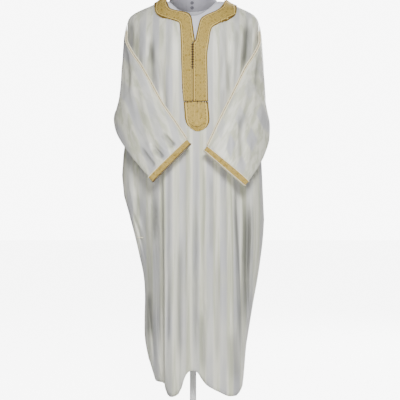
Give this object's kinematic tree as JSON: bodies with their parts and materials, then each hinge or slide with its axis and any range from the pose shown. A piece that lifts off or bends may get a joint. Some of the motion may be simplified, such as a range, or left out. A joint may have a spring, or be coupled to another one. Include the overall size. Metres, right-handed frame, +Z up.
{
  "type": "thobe robe on a limbless dress form",
  "caption": "Long ivory robe with wide sleeves, gold braid at the neck slit and cuffs and small knot buttons, hanging on a limbless dress form with pole and round foot.",
  "frame": {"origin": "centre of the underside of the dress form's round foot, on the floor", "axes": "+Z up along the pole, -Y towards the robe's front, +X to the right as seen from the front"},
  "size_m": [0.5944, 0.3804, 1.672],
  "materials": {
    "ivory_satin": "soft satin with tonal stripes",
    "gold_braid": "matt braid",
    "cream_cord": "matt cord",
    "bronze_knots": "tight cord knots",
    "white_jersey": "matt jersey",
    "grey_jersey": "matt jersey",
    "white_paint": "satin",
    "dark_snap": "satin"
  },
  "bodies": {
    "root": {"front": "ivory_satin", "back": "ivory_satin", "sleeve_left": "ivory_satin", "sleeve_right": "ivory_satin", "cuff_left": "gold_braid", "cuff_right": "gold_braid", "braid_left": "gold_braid", "braid_right": "gold_braid", "braid_back": "gold_braid", "placket_tab": "gold_braid", "placket_cord": "gold_braid", "sleeve_cord_left": "cream_cord", "sleeve_cord_right": "cream_cord", "bar_tack": "cream_cord", "button_01": "bronze_knots", "button_02": "bronze_knots", "button_03": "bronze_knots", "button_04": "bronze_knots", "button_05": "bronze_knots", "button_06": "bronze_knots", "button_07": "bronze_knots", "button_08": "bronze_knots", "button_09": "bronze_knots", "button_10": "bronze_knots", "form_torso": "white_jersey", "form_neck": "grey_jersey", "form_cap": "white_paint", "form_pole": "white_paint", "form_socket": "white_paint", "form_foot": "white_paint", "form_snap_1": "dark_snap", "form_snap_2": "dark_snap"}
  },
  "joints": []
}
